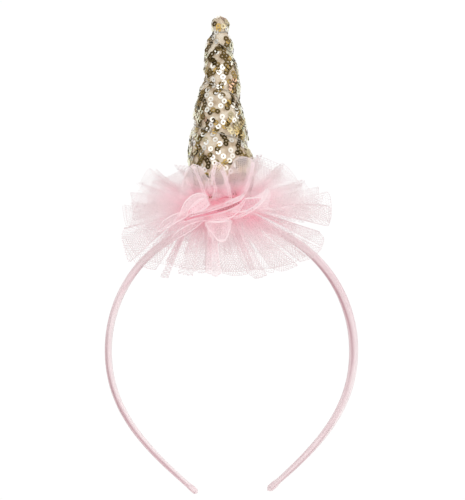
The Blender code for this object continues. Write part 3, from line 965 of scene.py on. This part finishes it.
def gather_ruffle(name, nodes, fans, root_height, length, folds, swing, seed, thin):
    """A strip of tulle gathered round the horn. Swing is half the depth of its folds at the far edge.

    Thin is 1 where the threads crowd together only close to the seam, and 0 where they do so further out.
    """
    draw = random.Random(seed)
    per_fold, down = 20, 17
    across = folds * per_fold + 1
    row_share = np.array([0.985 * row / (down - 2) for row in range(down - 1)] + [1.0])
    cloth, columns, rows = cut_cloth(name, across, down)

    def each_fold(take, *limits):
        return [take(*limits) for _ in range(folds + 1)]

    widths = [1 + change for change in each_fold(draw.uniform, -0.38, 0.38)]
    starts = np.concatenate([[0], np.cumsum(widths[:folds])]) / sum(widths[:folds])
    deep, over = each_fold(draw.uniform, 0.62, 1.15), each_fold(draw.uniform, 0.5, 1.5)
    skew, nod = each_fold(draw.uniform, -0.9, 0.9), each_fold(draw.gauss, 0, 4.5)
    trim = [1 + change for change in each_fold(draw.uniform, -0.10, 0.05)]
    leaning, curl = each_fold(draw.gauss, 0, 2.6), each_fold(draw.uniform, -0.25, 0.45)
    places, crowd, depth = np.zeros((len(columns), 3)), np.zeros(len(columns)), np.zeros(len(columns))
    for i, (column, row) in enumerate(zip(columns, rows)):
        fold, step = divmod(column, per_fold)
        following, t, v = min(fold + 1, folds), step / per_fold, row_share[row]

        def of(values, eased=ease(t)):
            return values[fold] + (values[following] - values[fold]) * eased

        azimuth_deg = SEAM_START + SEAM_TURN * of(starts, t)
        elevation, reach_share = read_fan(fans, azimuth_deg)
        elevation = math.radians(elevation + of(nod) * v)
        azimuth = math.radians(azimuth_deg + of(leaning) * v * v)
        phase = 2 * math.pi * t
        wave = math.tanh(2.0 * math.sin(phase + 0.5 * of(skew))) / math.tanh(2.0)
        out_swing = swing * of(deep) * (0.10 + 0.90 * v**0.85) * wave * min(1.0, reach_share / 0.75)
        period = SEAM_TURN / 360 * 2 * math.pi * (16 * MM + length * v) / folds
        side_swing = 0.24 * period * of(over) * math.sin(2 * phase + of(skew)) * min(1.0, 0.3 + v) * (1 - 0.5 * thin)
        reach = length * reach_share * of(trim) * v
        bend = of(curl) * v * v * 0.5
        rise = elevation + bend
        outward = np.array([math.cos(azimuth), math.sin(azimuth), 0.0])
        sideways = np.array([-math.sin(azimuth), math.cos(azimuth), 0.0])
        along = outward * math.cos(elevation) + UP * math.sin(elevation)
        normal = UP * math.cos(rise) - outward * math.sin(rise)
        root = np.array([horn_middle(root_height), 0, HORN_FOOT + root_height])
        root = root + outward * (horn_radius(root_height, azimuth) + 0.9 * MM)
        places[i] = root + along * reach + normal * (out_swing + bend * reach * 0.35) + sideways * side_swing
        crease = math.exp(-(((abs(math.sin(phase + 0.5 * of(skew))) - 1) / 0.05) ** 2)) * v
        crowd[i] = 0.01 - 0.015 * thin + 0.42 * (1 - v) ** (3 + 4 * thin) + (0.16 - 0.10 * thin) * crease
        depth[i] = (1 - v) ** (1.5 + 3.2 * thin)
    lay_cloth(cloth, places)
    v = row_share[rows]
    crowd_threads(cloth, crowd + 0.35 * (rows == down - 1), depth, 0.05 + 0.35 * thin + (0.8 - 0.3 * thin) * v**3)
    grid, widths = as_grid(places, columns, rows)
    strip = distances(grid[down // 2]) * 1.12
    finish_cloth(cloth, tulle, np.stack([strip[columns], v * length], axis=1))
    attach(cloth, "root")
    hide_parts(*nodes)


# azimuth in degrees (0 is +X, 270 the front), elevation in degrees, share of the length
TOP_FAN = (
    (0, 31, 0.90), (45, 42, 0.94), (90, 54, 0.95), (135, 39, 0.84), (180, 26, 0.76), (212, 36, 0.74),
    (238, 50, 0.28), (270, 60, 0.20), (292, 56, 0.22), (318, 46, 0.80),
)
UPPER_FAN = (
    (0, 4, 0.98), (45, 16, 0.88), (90, 22, 0.85), (135, 11, 0.74), (180, 1, 0.66), (225, 6, 0.80),
    (270, -4, 0.45), (315, 10, 0.80),
)
LOWER_FAN = (
    (0, 1, 1.10), (45, -7, 0.95), (90, -17, 0.90), (135, -12, 0.90), (180, -8, 0.82), (225, -9, 0.88),
    (270, -10, 0.62), (315, -5, 0.90),
)
BOTTOM_FAN = (
    (0, -13, 0.98), (22, -31, 1.04), (50, -48, 1.00), (90, -60, 0.90), (130, -51, 0.96), (158, -37, 1.00),
    (180, -23, 0.84), (202, -37, 0.90), (230, -51, 0.64), (270, -60, 0.48), (310, -47, 0.66), (338, -29, 0.92),
)
# ruffle and layer, fan, seam's height on the horn and length to the rim in mm, folds, swing in mm, seed, thin
RUFFLES = (
    ("top", "inner", TOP_FAN, 13.0, 22.0, 11, 4.6, 3, 0.0),
    ("top", "outer", TOP_FAN, 11.0, 28.5, 12, 6.0, 5, 0.0),
    ("upper", "inner", UPPER_FAN, 9.6, 28.0, 12, 6.5, 6, 0.0),
    ("upper", "outer", UPPER_FAN, 8.2, 37.0, 13, 7.5, 7, 0.0),
    ("lower", "inner", LOWER_FAN, 6.6, 28.0, 12, 6.5, 8, 0.5),
    ("lower", "outer", LOWER_FAN, 5.4, 37.0, 13, 7.5, 9, 0.5),
    ("bottom", "outer", BOTTOM_FAN, 4.0, 39.5, 10, 3.4, 12, 1.0),
    ("bottom", "inner", BOTTOM_FAN, 2.4, 26.0, 9, 3.0, 15, 1.0),
)
for place, layer, fans, seam, long, folds, swing, seed, thin in RUFFLES:
    nodes = ["tulle_ruffle_" + place]
    gather_ruffle(f"tulle_{place}_{layer}", nodes, fans, seam * MM, long * MM, folds, swing * MM, seed, thin)

# %% [markdown]
# At the front a few folds of the strip stand out towards the camera, so that their cut edges are seen end on:
# an arch and a long leaf above, a lip below them that turns up at the right, and one small cone under it.
# A gathered rule can't place these, so each is drawn as the line of its edge, in pixels of the photograph and
# millimetres of depth. The cloth then runs back from that line to its seam on the horn with a soft belly.

# %% Folds that face the camera


def smooth_line(points, count):
    """Points evenly spread along a smooth line through these ones."""
    points = [Vector(p) for p in points]
    fine = []
    for i in range(len(points) - 1):
        a, b, c, d = (points[min(max(i + k, 0), len(points) - 1)] for k in (-1, 0, 1, 2))
        for t in (k / 24 for k in range(24)):
            near = (2 * b) + (c - a) * t + (2 * a - 5 * b + 4 * c - d) * t * t
            fine.append(0.5 * (near + (3 * b - a - 3 * c + d) * t**3))
    fine = np.array([p[:] for p in (*fine, points[-1])])
    travelled = distances(fine)
    wanted = np.linspace(0, travelled[-1], count)
    return np.stack([np.interp(wanted, travelled, fine[:, k]) for k in range(3)], axis=1)


def drawn_line(line, count):
    """A smooth line through these rows of (pixel across, pixel down, depth in mm)."""
    return smooth_line([at_pixel(across, down, -depth * MM) for across, down, depth in line], count)


def front_fold(
    name, edge, seam, belly=2.0 * MM, seed=1, cover=0.3, deep=0.0, hem=0.02, side=0.0, alone=0.1,
    material=tulle, net=1.0,
):
    """Cloth from a drawn line back to a seam, and its width.

    The seam is (azimuth where it starts, azimuth where it ends, height on the horn in mm).
    """
    draw = random.Random(seed)
    across, down = 141, 17
    line = drawn_line(edge, across)
    row_share = np.array([(1 - hem) * row / (down - 2) for row in range(down - 1)] + [1.0])
    cloth, columns, rows = cut_cloth(name, across, down)
    from_deg, to_deg, seam_height = seam
    phase, ripple_phase = draw.uniform(-1, 1) * 3, draw.uniform(-1, 1) * 6
    places = np.zeros((len(columns), 3))
    for i, (column, row) in enumerate(zip(columns, rows)):
        u, v = column / (across - 1), row_share[row]
        azimuth = math.radians(from_deg + (to_deg - from_deg) * u)
        gather = 0.5 * MM * math.sin(u * 60)
        root = np.array(horn_point(seam_height * MM + gather, azimuth, 0.9 * MM + abs(gather)))
        along = line[column] - root
        normal = np.cross(line[min(column + 1, across - 1)] - line[max(column - 1, 0)], along)
        normal /= max(np.linalg.norm(normal), 1e-9)
        slack = math.sin(math.pi * v) * belly * (0.6 + 0.4 * math.sin(u * 17 + phase))
        ripple = 0.35 * MM * math.sin(u * 41 + ripple_phase) * v
        places[i] = root + along * v**0.82 + normal * (slack + ripple)
    lay_cloth(cloth, places)
    grid, widths = as_grid(places, columns, rows)
    across_row = np.cumsum(np.linalg.norm(np.diff(grid, axis=1), axis=2), axis=1)
    strip = np.concatenate([np.zeros((down, 1)), across_row], axis=1) - across_row[:, -1:] / 2
    width = float(widths.mean())
    finish_cloth(cloth, material, net * np.stack([strip[rows, columns], row_share[rows] * width], axis=1))
    inward = 1 - row_share[rows]
    at_side = np.minimum(columns, across - 1 - columns) / (across - 1) < 0.03
    crowded = cover + 0.45 * inward**2.5 + 0.4 * (rows == down - 1) + side * at_side
    crowd_threads(cloth, crowded, deep + (1 - deep) * inward**1.5, alone * (1 - inward) ** 0.7)
    print(name, "edge", round(float(across_row[-1, -1]), 3), "m, width", round(width, 3))
    return cloth, width


ARCH_AND_LEAF = (
    (150, 236, 30), (159, 231, 35), (171, 225, 39), (180, 216, 42), (184, 206, 44), (190, 197, 45), (198, 193, 45),
    (206, 194, 44), (209, 200, 41), (202, 207, 39), (192, 211, 40), (189, 214, 43), (198, 212, 45), (209, 209, 46),
    (221, 205, 46), (233, 200, 46), (244, 194, 45), (244, 199, 42), (237, 205, 41), (224, 210, 41), (208, 214.5, 41),
    (194, 218, 40), (184, 222, 38), (172, 228, 34),
)
LOWER_LIP = (
    (176, 232, 34), (184, 225, 40), (198, 219, 44), (214, 215, 46), (230, 210, 46), (241, 205, 44), (238, 212, 42),
    (244, 212, 44), (254, 207, 45), (263, 200, 44), (267.5, 190, 42), (271, 196, 38), (268, 206, 36), (276, 210, 36),
    (288, 205, 34), (296, 208, 30),
)
SMALL_CONE = (
    (214, 244, 36), (210, 237, 40), (206.5, 229, 43), (205.5, 223.5, 45), (212, 221.3, 46), (222, 220.4, 46),
    (231, 220.8, 45), (230, 228, 43), (226, 236, 40), (221, 243, 36),
)
SLIT = ((182, 221, 33), (192, 218, 36), (206, 214.5, 37), (220, 211, 38), (232, 207, 38), (243, 201.5, 36))
LEFT_VEIL = (
    (179, 199, 20), (182, 184, 23), (186, 171, 26), (192, 165, 28), (198, 165, 28), (204, 171, 27), (209, 181, 26),
    (212, 192, 25),
)
MIDDLE_VEIL = (
    (203, 192, 24), (208, 178, 27), (213, 166, 28.5), (218, 161.5, 29), (223, 166, 29), (228, 178, 28.5),
    (232, 194, 26),
)
RIGHT_VEIL = (
    (226, 190, 21), (229, 172, 24), (234, 160, 27), (240, 157, 28), (247, 157, 28), (252, 160, 27), (255, 168, 26),
    (250, 182, 26), (246, 194, 24),
)

print("the arch and leaf go through", len(ARCH_AND_LEAF), "points and the lip through", len(LOWER_LIP))

# %% [markdown]
# Where one of these folds turns over, its flat face looks straight at the camera. Each face is a ruled sheet
# between two edge lines with a soft belly, so the pale rims and the net show as they do in the picture.

# %% Faces of the folds


def fold_face(name, belly, lines=None, cover=0.30, deep=0.6, alone=0.45, hems=True, material=tulle):
    """Cloth between two drawn lines, its own in the table if none are given, with a pale hem along both."""
    across, down = 61, 15
    top_line, low_line = (drawn_line(line, across) for line in lines or FACE_LINES[name])
    cloth, columns, rows = cut_cloth(name, across, down)
    row_share = np.array([0.0, 0.09, 0.12] + [0.12 + 0.76 * k / 10 for k in range(1, 10)] + [0.88, 0.91, 1.0])
    u, v = columns / (across - 1), row_share[rows]
    places = top_line[columns] * (1 - v)[:, None] + low_line[columns] * v[:, None]
    places[:, 1] -= belly * np.sin(np.pi * v) * np.sin(np.pi * u) ** 0.5 + 0.25 * MM * np.sin(19 * u + 5 * v)
    lay_cloth(cloth, places)
    grid, widths = as_grid(places, columns, rows)
    strip = distances(grid[down // 2])
    finish_cloth(cloth, material, np.stack([strip[columns], (v - 0.5) * widths[columns]], axis=1))
    rim = np.isin(rows, (0, 1, down - 2, down - 1)) & hems
    crowd_threads(cloth, np.where(rim, 1.6, cover), np.where(rim, 0.0, deep), np.where(rim, 0.0, alone))
    print(name, "face", round(float(strip[-1]) * 1000, 1), "by", round(float(widths.mean()) * 1000, 1), "mm")
    return cloth


def fold_line(name, line, wide=3.2):
    """The narrow turned edge of a fold: the same line twice, this many pixels apart."""
    left = [(a - wide / 2, d, z) for a, d, z in line]
    right = [(a + wide / 2, d + 0.3, z) for a, d, z in line]
    return fold_face(name, 0.1 * MM, (left, right), cover=0.3, deep=0.3, alone=0.0)


def sew_front(name, fold, faces, nodes):
    """Joins a fold and the faces that it turns over into one sheet."""
    cloth, width = fold
    select_only(*faces, cloth)
    if faces:
        bpy.ops.object.join()
    cloth.name = cloth.data.name = name
    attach(cloth, "root")
    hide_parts(*nodes)
    print(name, "sewn", len(cloth.data.polygons), "faces")


# the upper and the lower edge of each face
FACE_LINES = {
    "arch": (
        (
            (179, 216, 42), (181.3, 209, 43), (184, 203, 44), (190, 196.3, 45), (198, 193.2, 45.5), (204, 194.5, 45),
            (208, 199, 44),
        ),
        (
            (187, 216, 42.5), (188.5, 211.5, 43.5), (191, 207.5, 44), (195, 203.2, 44.5), (199, 199.8, 45),
            (203.6, 196.5, 45), (207, 198.5, 44),
        ),
    ),
    "hollow": (
        (
            (189.5, 213, 41), (191, 208, 41.5), (195, 203.8, 42), (199, 200.3, 42), (203.6, 197.2, 42),
            (207, 199.2, 42),
        ),
        (
            (190.5, 214.5, 41), (195, 213, 41.5), (200, 211.7, 42), (204, 209.8, 42), (207.5, 207, 42),
            (210.5, 204, 42),
        ),
    ),
    "leaf": (
        (
            (188.5, 213.8, 44), (200, 211.5, 46), (210, 208.8, 47), (220, 205, 47), (231, 199.8, 47),
            (243.5, 193.3, 46),
        ),
        (
            (189.5, 217.3, 43), (200, 214.5, 45), (210, 211.7, 46), (222, 208, 46.5), (234, 203.5, 46),
            (241.5, 199.5, 45.5), (244.8, 194.5, 45),
        ),
    ),
    "left_leaf": (
        ((158, 230.5, 34), (162, 222, 37), (169, 216.5, 39), (177, 213, 41), (186, 211.5, 42)),
        ((158.5, 231.5, 34), (167, 228, 37), (176, 223, 39.5), (184, 218.5, 41), (191, 214, 42)),
    ),
    "slit_mouth": (
        (
            (184, 220, 42), (196, 215.6, 43.5), (208, 212.2, 44.5), (221, 208.3, 45), (232, 204.3, 45),
            (240, 200.8, 44.5), (244, 197, 44),
        ),
        (
            (185, 221.2, 42), (196, 217.4, 43.5), (208, 214.6, 44.5), (221, 211.8, 45), (232, 207.8, 45),
            (239, 203.8, 44.5), (244, 198.6, 44),
        ),
    ),
    "slit_painted_shade": (
        ((217, 210.4, 46), (225, 207.6, 46.3), (232, 205.2, 46.2), (239, 202, 45.8)),
        ((217, 211.4, 46), (225, 209.9, 46.3), (232, 207.4, 46.2), (239, 203.4, 45.8)),
    ),
    "lip": (
        (
            (184, 221.5, 40), (196, 218.5, 42.5), (208, 215.7, 43.5), (221, 212.6, 44), (232, 208.8, 44),
            (240, 204, 43.5), (244.5, 198, 43),
        ),
        (
            (186, 226, 40), (197, 222.5, 43), (205, 220.8, 44), (218, 219.8, 45), (230, 218.5, 45),
            (237, 213.5, 44.5), (242, 207.5, 44), (246, 199, 43),
        ),
    ),
    "blade": (
        ((233, 217, 43), (243, 213, 44), (253, 206.5, 44.5), (260, 200, 44.5), (263.5, 194, 44), (266, 188, 43)),
        (
            (233, 219.5, 43), (244, 216, 44.5), (255, 209.5, 45), (263, 202.5, 45), (266.8, 196, 44.5),
            (268.3, 188.5, 43.5),
        ),
    ),
    "pocket": (
        ((245.5, 198, 41), (253, 197.3, 41.5), (263, 197.8, 42)),
        ((239, 213, 41), (248, 210.5, 42), (255, 206, 42.5), (262, 200, 42.5)),
    ),
    "left_petal": (
        ((170, 240, 37), (176, 232.5, 39), (184, 227, 40.5), (193, 222.5, 41.5), (203, 219, 42)),
        ((170.5, 241, 37), (180, 237.5, 39), (189, 232.5, 41), (197, 227, 42), (205, 220, 42)),
    ),
    "cone": (
        ((204.5, 221.8, 45), (210, 221.2, 46), (218, 220.7, 46.5), (226, 220.4, 46.5), (231.8, 220.6, 46)),
        (
            (205.3, 224.5, 44), (208.5, 229.5, 43), (212.5, 234, 42), (218, 241, 40), (225, 241, 40),
            (229.5, 232, 42), (231.8, 223, 45),
        ),
    ),
}
LEFT_VEIL_EDGE = ((193.5, 166, 28.5), (197, 174, 28), (201, 184, 27), (205, 196, 26))
MIDDLE_VEIL_EDGE = ((221.5, 170, 30), (225.5, 179, 30), (228.5, 188, 29), (230.5, 198, 28))
MIDDLE_VEIL_FOLD = ((215.5, 165.5, 29.5), (213, 173, 30), (213.8, 182, 29.5), (215.5, 190, 29), (213.5, 199, 28))
RIGHT_VEIL_EDGE = ((253.3, 162, 28.5), (251.5, 172, 28), (248.5, 183, 28), (244.8, 194, 27))

print(len(FACE_LINES), "faces drawn")

# %% [markdown]
# Each fold is sewn to its faces as one piece, which then takes the place of the ruffles that it belongs to.

# %% Sew the front folds
around_seam, at_top = ("tulle_ruffle_upper", "tulle_ruffle_lower"), ("tulle_ruffle_top",)
in_shade = {"deep": 1.0, "alone": 0.0, "hems": False}
sew_front(
    "front_arch_and_leaf",
    front_fold("arch_and_leaf", ARCH_AND_LEAF, (228, 300, 10.0), seed=2, cover=0.40),
    [
        fold_face("arch", 1.2 * MM, cover=0.20),
        fold_face("hollow", -1.0 * MM, cover=1.0, alone=0.25),
        fold_face("leaf", 1.0 * MM, cover=0.22),
        fold_face("left_leaf", 1.0 * MM, cover=0.12, deep=0.3),
    ],
    around_seam,
)
sew_front(
    "front_lower_lip",
    front_fold("lower_lip", LOWER_LIP, (236, 318, 7.5), seed=4, cover=0.40),
    [
        # painted shade: the slit's mouth and the pocket are the net in shade, and inside the slit lies the darkest
        # copy
        fold_face("slit_mouth", -0.5 * MM, cover=1.0, material=shaded_tulle, **in_shade),
        fold_face("slit_painted_shade", 0.0, cover=0.55, material=deepest_shade_tulle, **in_shade),
        fold_face("lip", 1.2 * MM, cover=0.2, deep=1.0),
        fold_face("blade", 0.6 * MM, cover=0.4, deep=0.2),
        fold_face("pocket", -1.0 * MM, cover=0.5, deep=0.75, alone=0.2, material=shaded_tulle),
        fold_face("left_petal", 1.0 * MM, cover=0.14, deep=0.4),
    ],
    around_seam,
)
sew_front(
    "front_small_cone",
    front_fold("small_cone", SMALL_CONE, (262, 284, 5.0), belly=1.0 * MM, seed=6, cover=0.35),
    [fold_face("cone", -1.5 * MM, cover=0.14, deep=0.3, alone=0.3)],
    around_seam,
)
# painted shade: the slit is made of the net in shade
slit = front_fold(
    "slit", SLIT, (240, 300, 8.5), belly=1.2 * MM, seed=5, cover=0.8, deep=1.0, hem=0.3, material=shaded_tulle
)
sew_front("front_slit", slit, [], around_seam)

# side, edge, azimuths of the seam, seed, cover, how crowded the sides are, lines where it turns over
VEILS = (
    ("left", LEFT_VEIL, (226, 256), 7, 0.46, 0.2, [LEFT_VEIL_EDGE]),
    ("middle", MIDDLE_VEIL, (248, 278), 8, 0.38, 0.3, [MIDDLE_VEIL_EDGE, MIDDLE_VEIL_FOLD]),
    ("right", RIGHT_VEIL, (268, 312), 9, 0.24, 0.2, [RIGHT_VEIL_EDGE]),
)
VEIL_SEAM = 10.8
TWO_NETS = 1.35  # two nets that lie together show smaller holes
for name, edge, azimuths, seed, cover, side, turned in VEILS:
    veil = front_fold(
        "veil_" + name, edge, (*azimuths, VEIL_SEAM), 0.8 * MM, seed, cover, hem=0.07, side=side, net=TWO_NETS
    )
    sew_front("front_veil_" + name, veil, [fold_line(f"{name}_line", line) for line in turned], at_top)

# %% [markdown]
# Below the front, and at both sides, single strips of the net hang apart with square ends. They are the same kind
# of drawn fold with a thin cover, so the white behind them shows through the holes, and only their cut edges and
# folded sides make a line.

# %% Strips of the fringe and the two wings
# name, edge line in pixels and depth, azimuths of the seam, its height in mm, cover
STRIPS = (
    ("strip_1", ((160, 276.5, 24), (164, 277.8, 25), (168, 278, 24)), (224, 231), 4.5, 0.09),
    ("strip_2", ((177, 273, 28), (184, 275, 30), (192.5, 276, 28)), (238, 250), 4.5, 0.03),
    ("strip_3", ((193.5, 271, 24), (200, 273.5, 26), (206, 272.5, 25)), (248, 256), 5.5, 0.02),
    ("strip_4", ((205, 272.5, 30), (211, 275, 32), (216, 277, 33), (221, 273.5, 31)), (256, 266), 5.0, 0.34),
    ("strip_5", ((222, 273, 27), (231, 275.5, 29), (240, 275.5, 29), (248, 274, 27)), (264, 282), 4.5, 0.02),
    ("strip_6", ((247.5, 273, 30), (254.5, 278.5, 32), (260, 278, 33), (267, 275.5, 32)), (280, 295), 4.5, 0.1),
    ("strip_7", ((270, 268, 26), (280.5, 271.5, 28), (289, 269.5, 28), (298, 265.5, 26)), (293, 311), 4.0, 0.06),
    ("strip_8", ((300, 262, 22), (312, 258, 22), (322, 248.5, 20)), (309, 326), 4.0, 0.02),
    ("panel_left", ((166, 261, 22), (182, 267.5, 25), (196, 269.5, 27), (212, 269, 28)), (222, 258), 5.2, -0.03),
    (
        "panel_middle", ((205, 269.5, 27), (222, 271.5, 29), (240, 271.5, 29), (255, 269.5, 28)),
        (248, 290), 5.4, -0.03,
    ),
    ("panel_right", ((250, 270, 27), (270, 268.5, 27), (290, 264, 25), (306, 256, 22)), (282, 322), 5.2, -0.03),
    ("strip_9", ((136, 262, 16), (146, 268, 19), (156, 270, 21)), (205, 220), 4.0, 0.02),
    (
        "left_wing", ((124, 228, 13), (121.3, 236, 16), (123.8, 248, 18), (127.5, 260.5, 16), (131, 262, 15)),
        (186, 208), 4.5, 0.03,
    ),
    (
        "right_wing", ((326, 205.8, 13), (330.2, 206.5, 15), (330.4, 215, 17), (329, 225, 15), (325, 226, 14)),
        (350, 367), 6.0, 0.05,
    ),
    ("right_low_wing", ((318, 231, 14), (324, 238, 16), (322, 247, 17)), (332, 346), 4.5, 0.03),
)
for name, edge, azimuths, height, cover in STRIPS:
    strip = front_fold(
        name, edge, (*azimuths, height), belly=1.2 * MM, seed=len(name), cover=cover + 0.06, hem=0.025, side=0.8,
        alone=max(0.0, 1 - 2 * cover),
    )
    sew_front("tulle_" + name, strip, [], ("tulle_ruffle_bottom",))
